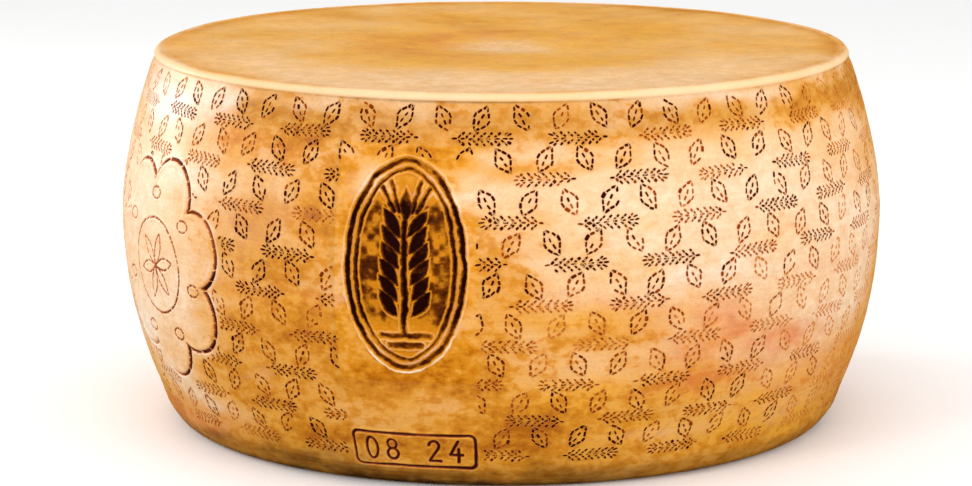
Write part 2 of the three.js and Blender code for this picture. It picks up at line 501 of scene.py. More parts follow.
def rindGroup():
    # Rind colour, roughness and height from a place and the strengths of its stains: cream and
    # honey clouds, amber blotches where the field is strong, fine brush streaks round the side
    # and specks. The pale rim is a painted highlight, the bloom also paints a sheen and the
    # brown paints shade as well as dirt. Noise is stretched along the rind by squeezing the
    # vertical coordinate.
    tree = bpy.data.node_groups.new("rindSurfaceLook", "ShaderNodeTree")
    sockets = [("INPUT", "Place", "Vector")] + [("INPUT", kind.capitalize(), "Float") for kind in stainKinds]
    sockets += [("OUTPUT", "Color", "Color"), ("OUTPUT", "Roughness", "Float"), ("OUTPUT", "Height", "Float")]
    for way, name, kind in sockets:
        tree.interface.new_socket(name, in_out=way, socket_type="NodeSocket" + kind)
    bench, look = nodeBench(tree), rindLook
    entry = tree.nodes.new("NodeGroupInput")
    leave = tree.nodes.new("NodeGroupOutput")
    place, amber, cream, gold, pink, grime, rim, plain = (entry.outputs[index] for index in range(8))
    clouds = bench.noise(place, 20, (1, 1, 1.8), 4, 0.55)
    blotches = bench.noise(place, 62, (1, 1, 1.8), 4, 0.6, 2.0)
    grain = bench.noise(place, 165, (1, 1, 1.4), 4, 0.62, 5.0)
    streaks = bench.noise(place, 80, (0.3, 0.3, 8), 4, 0.65, 9.0)
    specks = bench.noise(place, 620, (1, 1, 1.4), 3, 0.6, 6.0)

    tone = bench.sum((clouds, 0.75), (blotches, 0.25), (amber, 0.3), (cream, -0.22))
    color = bench.paint(bench.ramp(tone, 0.32, 0.66), linear(look["cream"]), look["honey"])
    gilded = bench.times(gold, bench.ramp(blotches, 0.35, 0.65, 0.95, 0.6))
    color = bench.paint(gilded, color, look["gold"])
    fleck = bench.sum((grain, 1.7), (specks, 0.3), -1.0)
    fleck = bench.times(fleck, bench.ramp(plain, 0, 1, 0.75, 0.2))
    patch = bench.sum((blotches, 0.4), (clouds, 0.2), fleck, (amber, 0.42), (cream, -0.2), 0.2)
    color = bench.paint(bench.ramp(patch, 0.54, 0.8, 0.0, 0.9), color, look["amber"])
    depth = bench.times(bench.ramp(patch, 0.76, 1.08, 0.0, 0.8), bench.ramp(plain, 0, 1, 1.0, 0.25))
    color = bench.paint(depth, color, look["deep"])
    # pale bloom in the grain and, where the cream field is strong at the upper left, a painted sheen
    bloom = bench.sum((grain, 0.5), (blotches, 0.2), (cream, 0.35))
    color = bench.paint(bench.ramp(bloom, 0.45, 1.1), color, look["bloom"])
    rosy = bench.times(pink, bench.ramp(blotches, 0.35, 0.65, 0.3, 0.75))
    color = bench.paint(rosy, color, look["pink"])
    # brown for dirt and for painted shade
    brushed = bench.sum((streaks, 0.4), (blotches, 0.6))
    dirtAndShade = bench.times(grime, bench.ramp(brushed, 0.3, 0.7, 0.5, 1.05))
    color = bench.paint(dirtAndShade, color, look["brown"])
    shade = bench.times(bench.ramp(streaks, 0.3, 0.7, 0.96, 1.02), bench.ramp(grain, 0.3, 0.7, 0.94, 1.04))
    shade = bench.times(shade, bench.ramp(specks, 0.3, 0.6, 0.93, 1.03))
    color = bench.mix(1.0, color, bench.grey(shade), "MULTIPLY")
    # painted highlight: the rim painted pale over the colour, free of the specks
    color = bench.paint(bench.times(rim, 0.75), color, look["rim"])

    rough = bench.sum((streaks, 0.2), (grain, 0.2), (cream, 0.06), (amber, -0.06), 0.3)
    bench.feed(leave.inputs["Color"], color)
    bench.feed(leave.inputs["Roughness"], rough)
    bench.feed(leave.inputs["Height"], bench.sum((streaks, 0.25), (grain, 0.6), (specks, 0.16)))
    return tree


def startMaterial(name, specular, coat):
    # a new material with its fixed finish set on the shader's own sockets
    material = bpy.data.materials.new(name)
    material.use_nodes = True
    shader = material.node_tree.nodes["Principled BSDF"]
    shader.inputs["Specular IOR Level"].default_value = specular
    shader.inputs["Coat Weight"].default_value = coat
    shader.inputs["Coat Roughness"].default_value = 0.3
    shader.inputs["Subsurface Weight"].default_value = 0.1
    shader.inputs["Subsurface Radius"].default_value = (1.0, 0.45, 0.18)
    shader.inputs["Subsurface Scale"].default_value = 0.003
    return material, nodeBench(material.node_tree), shader


def placeRind(bench, group):
    # the rind group read at the object's own coordinates and the mesh's stain fields
    inputs = {kind.capitalize(): bench.attribute(kind) for kind in stainKinds}
    return bench.add("Group", {"Place": bench.place(), **inputs}, node_tree=group)


def finish(bench, shader, color, roughness, height, bumpMm):
    # joins what changes over the surface to the shader, the height through a bump
    bump = bench.add("Bump", {"Distance": bumpMm * mm, "Height": height})
    bench.feed(shader.inputs["Base Color"], color)
    bench.feed(shader.inputs["Roughness"], roughness)
    bench.feed(shader.inputs["Normal"], bump.outputs[0])


def rindMaterial(group):
    # the rind as it is, with a thin film of oil
    material, bench, shader = startMaterial("rindOiled", 0.3, 0.12)
    rind = placeRind(bench, group)
    finish(bench, shader, rind.outputs["Color"], rind.outputs["Roughness"], rind.outputs["Height"], 0.5)
    return material


def lipMaterial(group):
    # the rind where it was pushed up round a mark, a little paler and pinker
    material, bench, shader = startMaterial("rindPushedUp", 0.15, 0.05)
    rind = placeRind(bench, group)
    color = bench.paint(0.3, rind.outputs["Color"], rindLook["pushedUp"])
    finish(bench, shader, color, rind.outputs["Roughness"], rind.outputs["Height"], 0.3)
    return material


def inkColor(bench, ink):
    # brown-black where a mark is deep, rust and then flesh where it faded
    color = bench.paint(bench.ramp(ink, 0.1, 0.45), linear(inkLook["faded"]), inkLook["rust"])
    return bench.paint(bench.ramp(ink, 0.42, 0.78), color, inkLook["dark"])


def markMaterial():
    # the dark bed of a small mark
    material, bench, shader = startMaterial("markBed", 0.02, 0.0)
    grain = bench.noise(bench.place(), 500, (1, 1, 1), 3, 0.6)
    ink = bench.sum(bench.attribute("ink"), (grain, 0.5), -0.25)
    finish(bench, shader, inkColor(bench, ink), bench.ramp(grain, 0.3, 0.7, 0.5, 0.8), grain, 0.3)
    return material


def pressedMaterial(group):
    # rind with marks pressed into it: the mesh's ink field says how far their beds darkened
    material, bench, shader = startMaterial("rindPressed", 0.3, 0.12)
    rind = placeRind(bench, group)
    grain = bench.noise(bench.place(), 500, (1, 1, 1), 3, 0.6)
    ink = bench.sum(bench.attribute("ink"), (grain, 0.4), -0.2)
    color = bench.mix(bench.ramp(ink, 0.04, 0.2), rind.outputs["Color"], inkColor(bench, ink))
    rough = bench.sum(rind.outputs["Roughness"], (bench.ramp(ink, 0.1, 0.5), 0.4))
    finish(bench, shader, color, rough, rind.outputs["Height"], 0.5)
    return material


def burnMaterial(group):
    # rind that a hot iron has toasted, scorched and charred, by the mesh's burn field
    material, bench, shader = startMaterial("rindBurned", 0.06, 0.0)
    rind = placeRind(bench, group)
    fibre = bench.noise(bench.place(), 380, (1, 1, 1.4), 4, 0.65)
    crust = bench.noise(bench.place(), 900, (1, 1, 1), 3, 0.6, 4.0)
    burn = bench.sum(bench.attribute("burn"), (fibre, 0.5), -0.25)
    color = bench.paint(bench.ramp(burn, 0.05, 0.36, 0.0, 0.9), rind.outputs["Color"], burnLook["toast"])
    color = bench.paint(bench.ramp(burn, 0.36, 0.64), color, burnLook["scorch"])
    color = bench.paint(bench.ramp(burn, 0.58, 0.86), color, burnLook["char"])
    charred = bench.ramp(burn, 0.3, 0.8)
    rough = bench.sum((rind.outputs["Roughness"], 0.6), (crust, 0.15), (charred, 0.14))
    height = bench.sum(rind.outputs["Height"], bench.times(charred, bench.sum(fibre, crust)))
    finish(bench, shader, color, rough, height, 0.6)
    return material


rindTree = rindGroup()
rindOiled = rindMaterial(rindTree)
rindPushedUp = lipMaterial(rindTree)
rindPressed = pressedMaterial(rindTree)
rindBurned = burnMaterial(rindTree)
markBed = markMaterial()
print("materials made")


stampPlace = {
    "angle": -13.5,
    "heightMm": 118.0,
    "halfWidthMm": 37.0,
    "halfHeightMm": 60.0,
    "spacingMm": 0.42,       # between the points of its field
}
rosettePlace = {
    "angle": -60.5,
    "heightMm": 99.0,
    "halfWidthMm": 66.0,
    "halfHeightMm": 66.0,
    "spacingMm": 0.56,
}
boxPlace = {
    "angle": -13.6,
    "heightMm": 20.8,
    "halfWidthMm": 39.0,
    "halfHeightMm": 14.5,
    "spacingMm": 0.36,
}
rosette = {"radiusMm": 55.0, "lobes": 7, "lobeMm": 7.0, "ringMm": 25.0, "ovalsMm": 38.0, "raisedMm": 0.7}


def localMm(angle, length, place):
    # millimetres right of and above a place, measured along the rind
    across = (angle - math.radians(place["angle"])) * bellyRadiusMm
    up = (length - lengthAtHeight(place["heightMm"] * mm)) / mm
    return across, up


def insetMm(across, up, place):
    # millimetres inside the border of a place's field
    return np.minimum(place["halfWidthMm"] - np.abs(across), place["halfHeightMm"] - np.abs(up))


def rosetteRadius(turn):
    # radius of the rosette's outline: a circle with round lobes between sharp notches
    lobe = np.abs(np.sin(rosette["lobes"] * turn / 2 + 0.4)) ** 0.7
    return rosette["radiusMm"] + rosette["lobeMm"] * (2 * lobe - 1.4)


def rosetteInside(angle, length):
    # millimetres inside the rosette's outline, negative outside it
    across, up = localMm(angle, length, rosettePlace)
    return rosetteRadius(np.arctan2(up, across)) - np.hypot(across, up)


wheelMesh = {
    "turns": 596,
    "bottomFaceRings": 8,
    "footRings": 10,
    "sideRings": 92,
    "rimRings": 30,
    "topFaceRings": 24,
    "footTopMm": 11.5,       # heights between which the side's rings lie
    "rimStartMm": 191.5,
    "rimPastMm": 3.0,        # how far the rim's close rings go on over the upper face
    "pressedInMm": 4.0,      # how far it is pressed in under the larger marks
}


def wheelMap(angle, length, faceEnd, topStart):
    # The map for the wheel's finish: the side as two long strips, each face as a disc. The few
    # mm added to and taken from the lengths keep the quads at a face's edge whole.
    whole = profileLength[-1]
    half = (angle.mean(1, keepdims=True) > math.pi).astype(float)
    share = np.clip((length - faceEnd) / (topStart - faceEnd), 0, 1)
    strip = np.stack([0.01 + 0.98 * (angle / math.pi - half), 0.01 + 0.3 * half + 0.28 * share], -1)
    lowOut, highOut = length / (faceEnd + 0.006), (whole - length) / (whole - topStart + 0.004)
    lowDisc, highDisc = (
        np.stack([middle + out * 0.19 * np.cos(angle), 0.8 + out * 0.19 * np.sin(angle)], -1)
        for middle, out in ((0.2, lowOut), (0.6, highOut))
    )
    isLow = (length.max(1) < faceEnd + 0.005)[:, None, None]
    isHigh = (length.min(1) > topStart - 0.003)[:, None, None]
    return np.where(isLow, lowDisc, np.where(isHigh, highDisc, strip))


def wheelPiece(mesh):
    # The rind surface on a grid of turns and profile distances, with a point at each middle.
    # It is pressed in under the larger marks, whose own finer pieces lie there.
    whole = profileLength[-1]
    faceEnd, topStart = profileLength[sideStart], profileLength[sideEnd]
    footEnd, rimStart = (lengthAtHeight(mesh[key] * mm) for key in ("footTopMm", "rimStartMm"))
    rimEnd = topStart + mesh["rimPastMm"] * mm
    lengths = np.concatenate([
        np.linspace(0, faceEnd, mesh["bottomFaceRings"] + 1)[1:-1],
        np.linspace(faceEnd, footEnd, mesh["footRings"])[:-1],
        np.linspace(footEnd, rimStart, mesh["sideRings"])[:-1],
        np.linspace(rimStart, rimEnd, mesh["rimRings"])[:-1],
        np.linspace(rimEnd, whole, mesh["topFaceRings"] + 1)[:-1],
    ])
    rows, columns = len(lengths), mesh["turns"]
    step = 2 * math.pi / columns
    length, angle = np.meshgrid(lengths, np.arange(columns) * step, indexing="ij")
    toFront = (angle + math.pi) % (2 * math.pi) - math.pi
    under = 0.0
    for place in (stampPlace, rosettePlace, boxPlace):
        inset = insetMm(*localMm(toFront, length, place), place)
        under = under - mesh["pressedInMm"] * mm * smoothStep(3.0, 7.0, inset)
    places = rindSurface(toFront, length, under).reshape(-1, 3)
    middles = rindSurface(np.zeros(2), np.array([0.0, whole]))
    places = np.concatenate([places, middles])
    fields = stainFields(np.concatenate([toFront.ravel(), np.zeros(2)]), places)

    around = np.arange(columns)
    count, last = rows * columns, (rows - 1) * columns
    bottomFan = np.stack([(around + 1) % columns, around, np.full(columns, count)], 1)
    topFan = np.stack([last + around, last + (around + 1) % columns, np.full(columns, count + 1)], 1)
    row, column = gridCorners(rows, columns, True)
    lowAngle = np.stack([around + 1, around, around + 0.5], 1) * step
    highAngle = lowAngle[:, [1, 0, 2]]
    lowLength = np.array([lengths[0], lengths[0], 0]) + 0 * lowAngle
    highLength = np.array([lengths[-1], lengths[-1], whole]) + 0 * highAngle
    corners = ((column * step, lengths[row]), (lowAngle, lowLength), (highAngle, highLength))
    cornerMap = [wheelMap(*part, faceEnd, topStart) for part in corners]
    faces = [gridFaces(rows, columns, True), bottomFan, topFan]
    return makePiece("wheelRind", places, faces, rindOiled, fields, cornerMap)


wheelRind = wheelPiece(wheelMesh)
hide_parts("cheese_wheel")
print("wheel made:", len(wheelRind.data.polygons), "faces")


def fieldPiece(name, place, pressing, material):
    # A fine grid over a field of the rind. pressing gives each point's height over the rind in
    # mm and its finish fields; both fade out at the border, which is tucked just under the rind.
    halfWidth, halfHeight = place["halfWidthMm"], place["halfHeightMm"]
    x = np.linspace(-halfWidth, halfWidth, int(2 * halfWidth / place["spacingMm"]))
    y = np.linspace(-halfHeight, halfHeight, int(2 * halfHeight / place["spacingMm"]))
    up, across = np.meshgrid(y, x, indexing="ij")
    angle = math.radians(place["angle"]) + across / bellyRadiusMm
    length = lengthAtHeight(place["heightMm"] * mm) + up * mm
    base, _ = baseSurface(angle, length)
    height, pressed = pressing(across, up, base)
    inset = insetMm(across, up, place)
    lift = np.where(inset < 0.3, -0.2, height * smoothStep(0.5, 3.0, inset) + 0.03)
    places = rindSurface(angle, length, lift * mm)
    fields = stainFields(angle, base)
    for label, values in pressed.items():
        fields[label] = fields.get(label, 0) + values * smoothStep(0.5, 4.0, inset)
    row, column = gridCorners(len(y), len(x), False)
    cornerMap = np.stack([0.01 + 0.98 * column / (len(x) - 1), 0.01 + 0.98 * row / (len(y) - 1)], -1)
    faces = [gridFaces(len(y), len(x), False)]
    return makePiece(name, places.reshape(-1, 3), faces, material, fields, [cornerMap])


def ovalDistance(x, y, halfWidth, halfHeight):
    # about how far a point is from an oval: (q - 1) / |gradient of q|, q its scaled radius
    q = np.sqrt((x / halfWidth) ** 2 + (y / halfHeight) ** 2) + 1e-9
    slope = np.sqrt((x / halfWidth ** 2) ** 2 + (y / halfHeight ** 2) ** 2) / q + 1e-9
    return (q - 1) / slope


def lineDistance(x, y, start, end):
    # distance to the straight line between two points
    alongX, alongY = end[0] - start[0], end[1] - start[1]
    share = ((x - start[0]) * alongX + (y - start[1]) * alongY) / (alongX ** 2 + alongY ** 2)
    share = np.clip(share, 0, 1)
    return np.hypot(x - start[0] - share * alongX, y - start[1] - share * alongY)


def pathDistance(x, y, path):
    # distance to a path of straight lines
    return np.min([lineDistance(x, y, start, end) for start, end in zip(path[:-1], path[1:])], axis=0)


def leafDistance(x, y, centre, turn, halfLength, halfWidth):
    # about the signed distance to a leaf: its half width shrinks to points at both ends
    cosine, sine = math.cos(turn), math.sin(turn)
    along = (x - centre[0]) * cosine + (y - centre[1]) * sine
    across = -(x - centre[0]) * sine + (y - centre[1]) * cosine
    return np.abs(across) - halfWidth * (1 - np.clip(np.abs(along) / halfLength, 0, 1.6) ** 1.8)


stampDesign = {
    "ovalMm": (29.8, 52.0),      # half width and half height of the outer ring's middle line
    "ringMm": 2.3,
    "innerGapMm": 4.6,
    "innerRingMm": 1.2,
    "depthMm": 1.4,
    "lipMm": 0.6,
    "grainPairs": 6,
}


def stampDistance(x, y, design):
    # signed distance to all burned strokes, negative inside them: two oval rings, a stem, pairs
    # of grains up the stem, a top grain, long awns and two bars under the stem's foot
    halfWidth, halfHeight = design["ovalMm"]
    gap = design["innerGapMm"]
    strokes = [
        np.abs(ovalDistance(x, y, halfWidth, halfHeight)) - design["ringMm"] / 2,
        np.abs(ovalDistance(x, y, halfWidth - gap, halfHeight - gap)) - design["innerRingMm"] / 2,
        lineDistance(x, y, (0, -35), (0, 22)) - 1.0,
    ]
    for pair in range(design["grainPairs"]):
        level = -19 + 8.0 * pair
        reach = 8.2 - 0.35 * pair
        for side in (-1, 1):
            turn = math.pi / 2 - side * math.radians(35)
            strokes.append(leafDistance(x, y, (side * reach, level), turn, 7.6, 2.8))
    strokes.append(leafDistance(x, y, (0, 30.0), math.pi / 2, 7.6, 2.7))
    for lean, reach in ((-40, 13), (-23, 15), (23, 15), (40, 13)):
        start = (0.15 * lean, 27.0)
        way = math.radians(lean * 0.75)
        tip = (start[0] + reach * math.sin(way), start[1] + reach * math.cos(way))
        strokes.append(lineDistance(x, y, start, tip) - 0.75)
    for level, reach in ((-35.5, 12.0), (-40.2, 7.5)):
        strokes.append(lineDistance(x, y, (-reach, level), (reach, level)) - 1.2)
    return np.min(strokes, axis=0)


def stampPressing(across, up, base):
    # The strokes are sunk by a smooth step of their distance, a lip stands just outside them,
    # and noise roughens their beds. The ground inside the oval is toasted, most in its middle.
    # The lips are painted paler and more golden, a painted highlight, and those outside the
    # oval's foot paler still, as chalky crust and painted highlight.
    design = stampDesign
    wobbleX = 0.6 * cloud(base, 0.009, 31) + 0.4 * cloud(base, 0.003, 32) + 0.2 * cloud(base, 0.0012, 30)
    wobbleY = 0.6 * cloud(base, 0.009, 33) + 0.4 * cloud(base, 0.003, 34) + 0.2 * cloud(base, 0.0012, 29)
    distance = stampDistance(across + wobbleX, up + wobbleY, design)
    uneven = 0.75 + 0.35 * cloud(base, 0.018, 35)
    bed = smoothStep(0.7, -0.6, distance)
    lip = bell(distance, 1.1, 0.6) * (0.4 + 0.6 * uneven)
    crust = 0.26 * cloud(base, 0.0017, 36) + 0.18 * cloud(base, 0.0009, 37)
    inside = smoothStep(1.0, -2.0, ovalDistance(across, up, *design["ovalMm"]))
    middle = smoothStep(33, 24, np.abs(up - 1 + 3 * cloud(base, 0.02, 28)))
    height = -design["depthMm"] * bed * uneven + design["lipMm"] * lip
    height = height + crust * np.clip(bed + 0.3 * inside + 0.4 * inside * middle, 0, 1) - 0.3 * inside
    halo = np.exp(-np.clip(distance, 0, None) / 1.3)
    mottle = 0.2 * cloud(base, 0.009, 38) + 0.22 * cloud(base, 0.0032, 27)
    ground = inside * (0.18 + 0.38 * middle + mottle * (0.5 + 0.8 * middle))
    toasted = np.clip(0.34 * halo * (0.5 + 0.5 * inside) + ground, 0, 0.72) * (1 - 0.75 * lip)
    charred = bed * (0.72 + 0.16 * cloud(base, 0.012, 39) + 0.16 * cloud(base, 0.0035, 26) + 0.22 * middle)
    glaze = inside * (0.35 + 0.35 * middle)
    chalkAndHighlight = lip * smoothStep(-26, -46, up) * (1 + cloud(base, 0.006, 40)) * (1 - 0.7 * inside)
    # the cream and gold on the lips are painted highlight
    fields = {"burn": np.maximum(charred, toasted), "cream": 0.7 * lip + 1.3 * chalkAndHighlight, "gold": 0.6 * lip}
    return height, {**fields, "amber": glaze}


fieldPiece("burnedStamp", stampPlace, stampPressing, rindBurned)
print("stamp made")


def dashMask(along, pitch, gap, seed):
    # 1 in a dash and 0 in the gap after it, with the gaps' places shaken by a slow wave
    share = (along / pitch + 0.25 * np.sin(along / pitch * 2.4 + seed)) % 1.0
    soft = gap / pitch / 2
    return smoothStep(0, soft, share) * smoothStep(1, 1 - soft, share)


def rosettePressing(across, up, base):
    # A raised ground with a broken groove round it; on it a broken ring, seven broken ovals and
    # a flower of six leaves. Each groove's half width is cut to nothing in its gaps.
    turn, out = np.arctan2(up, across), np.hypot(across, up)
    wobble = 0.5 * cloud(base, 0.012, 41) + 0.2 * cloud(base, 0.004, 42)
    edge = rosetteRadius(turn)
    slope = (rosetteRadius(turn + 0.01) - rosetteRadius(turn - 0.01)) / 0.02 / edge
    distance = (out + wobble - edge) / np.sqrt(1 + slope ** 2)
    towards = 0.5 + 0.5 * np.cos(turn + 0.25)          # 1 where the outline faces the front
    force = np.clip(0.35 + 0.65 * towards + 0.35 * cloud(base, 0.03, 43), 0.15, 1.1)
    # each groove: distance to its middle line, half width, dashes, strength
    grooves = [(np.abs(distance), 0.35 + 0.45 * force, dashMask(turn * edge, 8.0, 1.8, 0.0), force)]
    ring = np.abs(out + wobble - rosette["ringMm"])
    grooves.append((ring, 0.5, dashMask(turn * out, 3.6, 1.6, 1.0), 0.3 + 0.4 * force))
    for index in range(rosette["lobes"]):
        centre = 2 * math.pi * (index + 0.5) / rosette["lobes"] + 0.25
        x = across - rosette["ovalsMm"] * math.cos(centre)
        y = up - rosette["ovalsMm"] * math.sin(centre)
        oval = np.abs(ovalDistance(x, y, 4.6, 3.0))
        grooves.append((oval, 0.42, dashMask(np.arctan2(y, x) * 3.8, 2.4, 1.1, index), 0.35 + 0.3 * force))
    for index in range(6):
        direction = math.pi * index / 3 + 0.2
        centre = (9.5 * math.cos(direction), 9.5 * math.sin(direction))
        leaf = np.abs(leafDistance(across, up, centre, direction, 9.0, 3.0))
        grooves.append((leaf, 0.45, dashMask(out, 3.2, 1.2, index), 0.25 + 0.3 * force))
    height = rosette["raisedMm"] * smoothStep(1.5, -3.5, distance) + 0.35 * bell(distance, -2.2, 1.6)
    height = height - 0.35 * bell(distance, 0, 1.1)    # the line goes on unbroken, uncoloured
    ink = 0.0
    for away, halfWidth, dashes, strength in grooves:
        reach = halfWidth * np.sqrt(dashes) + 1e-3
        bed = smoothStep(reach + 0.3, reach - 0.3, away) * smoothStep(0.1, 0.4, dashes)
        lip = bell(away, reach + 0.75, 0.5) * smoothStep(0.0, 0.3, dashes)
        height = height - bed * halfWidth * (0.6 + 0.5 * strength) + 0.3 * lip * halfWidth
        ink = np.maximum(ink, bed * strength * (0.85 + 0.3 * cloud(base, 0.005, 44)))
    # the cream just outside the outline is a painted highlight
    return height, {"ink": ink, "cream": 0.4 * bell(distance, 1.6, 1.2)}


fieldPiece("pressedRosette", rosettePlace, rosettePressing, rindPressed)
print("rosette made")


boxDesign = {
    "halfMm": (34.6, 9.7),
    "cornerMm": 3.5,
    "digits": (("0", -24.5), ("8", -12.5), ("2", 11.5), ("4", 23.5)),    # each with its middle
    "digitSize": 1.15,
}


def digitDistance(x, y, digit):
    # distance to a plain numeral 10.8 mm tall, drawn with ovals and lines
    if digit == "0":
        return np.abs(ovalDistance(x, y, 2.7, 5.4))
    if digit == "8":
        upper, lower = ovalDistance(x, y - 2.75, 2.2, 2.5), ovalDistance(x, y + 2.6, 2.7, 2.8)
        return np.minimum(np.abs(upper), np.abs(lower))
    if digit == "2":
        turn = np.linspace(math.pi * 0.95, -math.pi * 0.2, 9)
        bow = [(2.5 * math.cos(t), 2.7 + 2.7 * math.sin(t)) for t in turn]
        return pathDistance(x, y, bow + [(-2.7, -5.4), (2.9, -5.4)])
    slant = pathDistance(x, y, [(1.0, 5.4), (-2.8, -1.9), (3.0, -1.9)])
    return np.minimum(slant, lineDistance(x, y, (1.2, 1.2), (1.2, -5.4)))


def boxPressing(across, up, base):
    # a rounded box and four numerals as narrow dark grooves with low lips
    x = across + 0.45 * cloud(base, 0.011, 46)
    y = up + 0.4 * cloud(base, 0.013, 47)
    corner = boxDesign["cornerMm"]
    overX = np.abs(x) - boxDesign["halfMm"][0] + corner
    overY = np.abs(y) - boxDesign["halfMm"][1] + corner
    outline = np.hypot(np.clip(overX, 0, None), np.clip(overY, 0, None))
    outline = np.abs(outline + np.minimum(np.maximum(overX, overY), 0) - corner)
    size = boxDesign["digitSize"]
    strokes = [outline]
    for digit, middle in boxDesign["digits"]:
        strokes.append(digitDistance((x - middle) / size, y / size, digit) * size)
    distance = np.min(strokes, axis=0)
    force = 0.85 + 0.3 * cloud(base, 0.02, 48)
    heavy = 0.2 * cloud(base, 0.008, 49) + 0.3 * smoothStep(5, 30, x) * smoothStep(2, -6, y)
    bed = smoothStep(0.98, 0.33, distance - heavy)
    lip = bell(distance - heavy, 1.48, 0.55)
    # the cream on the lips is a painted highlight
    return 0.3 * lip - 0.8 * bed * force, {"ink": bed * (0.9 * force + 0.06), "cream": 0.3 * lip}


fieldPiece("numberBox", boxPlace, boxPressing, rindPressed)
print("number box made")


dashRows = {
    "rowPitchMm": 20.6,
    "firstEarMm": 12.5,         # height along the rind of the lowest row of ears
    "earPitchMm": 49.5,
    "leafPitchMm": 20.7,
    "rowShiftMm": 17.3,         # each row of ears starts this much further round
    "leafShiftMm": 9.1,
    "lowestMm": 8.0,            # heights between which rows start
    "highestMm": 197.0,
    "keptAboveMm": 8.5,         # dashes past these heights are left out
    "keptBelowMm": 196.0,
    "rosetteGapMm": 3.5,
    # no dashes from this far past the band's joint, to this angle, below this height in mm
    "clearings": {"stamp": (0.25, -3.4, 171.0), "box": (-0.6, -2.6, 33.0)},
    "missing": 0.03,
    "crestMm": 0.2,
    "earLean": 0.02,            # how unevenly the ears lie, in radians
    "leafTurn": 0.5,            # how far the leaves turn to either side, in radians
    "leafLean": 0.04,
    "seed": 20,
}


def earDashes():
    # An ear of grain lying down, 32 mm long: a broken stem, grains that are two dashes each and
    # three awns. Columns are x, y, direction, half length and half width, in mm.
    dashes = [(-14.6 + 4.4 * step, 0.0, 0.0, 1.3, 0.45) for step in range(7)]
    dashes += [(14.7, 0.0, 0.0, 1.4, 0.42), (14.0, 1.9, 0.3, 1.3, 0.4), (14.0, -1.9, -0.3, 1.3, 0.4)]
    for step in range(7):
        for side in (-1, 1):
            x = -11.8 + 3.75 * step
            dashes.append((x, side * 1.25, side * 0.75, 1.05, 0.52))
            dashes.append((x + 1.5, side * 2.6, side * 0.75, 1.0, 0.5))
    return np.array(dashes)


def leafDashes():
    # A pointed leaf 14 mm tall: on either side five dashes along the curve whose half width is
    # a share of the greatest, 1 - |s|^1.5 at a share s of the half height, and a short midrib
    halfTall, halfWide = 7.0, 3.9
    dashes = [(0.0, -2.4, math.pi / 2, 1.2, 0.48), (0.0, 1.4, math.pi / 2, 1.2, 0.48)]
    for side in (-1, 1):
        for share in (-0.84, -0.43, 0.0, 0.43, 0.84):
            sideways = -1.5 * side * halfWide * math.copysign(abs(share) ** 0.5, share)
            x = side * halfWide * (1 - abs(share) ** 1.5)
            dashes.append((x, halfTall * share, math.atan2(halfTall, sideways), 1.45, 0.55))
    return np.array(dashes)


handPressed = {
    "shiftMm": 0.13,            # how far each dash strays, as a normal spread
    "turn": 0.09,               # and how far it turns, in radians
    "lengths": (0.82, 1.15),    # shares of a dash's own length and width
    "widths": (0.8, 1.25),
    "wideShare": 0.07,          # of the dashes, this many are wider
    "wideBy": 1.5,
    "rowShiftMm": 0.35,
}


def scatterMotif(motif, centres, leans, rng):
    # copies of a motif's dashes, each turned by its copy's lean, moved to its centre and shaken
    lean = leans[:, None]
    x = motif[None, :, 0] * np.cos(lean) - motif[None, :, 1] * np.sin(lean) + centres[:, None, 0]
    y = motif[None, :, 0] * np.sin(lean) + motif[None, :, 1] * np.cos(lean) + centres[:, None, 1]
    size = np.broadcast_to(motif[None, :, 3:5], (len(centres), len(motif), 2))
    dashes = np.concatenate([np.stack([x, y, motif[None, :, 2] + lean], -1), size], -1).reshape(-1, 5)
    count = len(dashes)
    dashes[:, :2] += rng.normal(0, handPressed["shiftMm"], (count, 2))
    dashes[:, 2] += rng.normal(0, handPressed["turn"], count)
    dashes[:, 3] *= rng.uniform(*handPressed["lengths"], count)
    width = rng.uniform(*handPressed["widths"], count)
    dashes[:, 4] *= width * np.where(rng.random(count) < handPressed["wideShare"], handPressed["wideBy"], 1)
    return dashes, np.repeat(np.arange(len(centres)), len(motif))


def rowCentres(pitch, shift, heights, rng):
    # evenly spaced places round the wheel in each row, each row started a little further on
    wholeTurn = 2 * math.pi * bellyRadiusMm
    count = round(wholeTurn / pitch)
    order = np.arange(count)
    rows = []
    for row, height in enumerate(heights):
        x = (order * wholeTurn / count + row * shift) % wholeTurn - wholeTurn / 2
        rows.append(np.stack([x, np.full(count, height)], 1))
    centres = np.concatenate(rows)
    strayed = centres + rng.normal(0, handPressed["rowShiftMm"], centres.shape)
    return strayed, np.tile(order, len(heights))


def keptDashes(dashes, rng):
    # true for dashes clear of the larger marks and of both rims, less a few lost ones
    angle, length = dashes[:, 0] / bellyRadiusMm, dashes[:, 1] * mm
    fromJoint = np.degrees(angle) - bandJoint["angle"]
    height = alongProfile(length, profile[:, 1]) / mm
    dropped = (height < dashRows["keptAboveMm"]) | (height > dashRows["keptBelowMm"])
    dropped |= rosetteInside(angle, length) > -dashRows["rosetteGapMm"]
    for past, end, top in dashRows["clearings"].values():
        dropped |= (fromJoint > past) & (fromJoint < end - bandJoint["angle"]) & (height < top)
    return ~dropped & (rng.random(len(dashes)) >= dashRows["missing"])


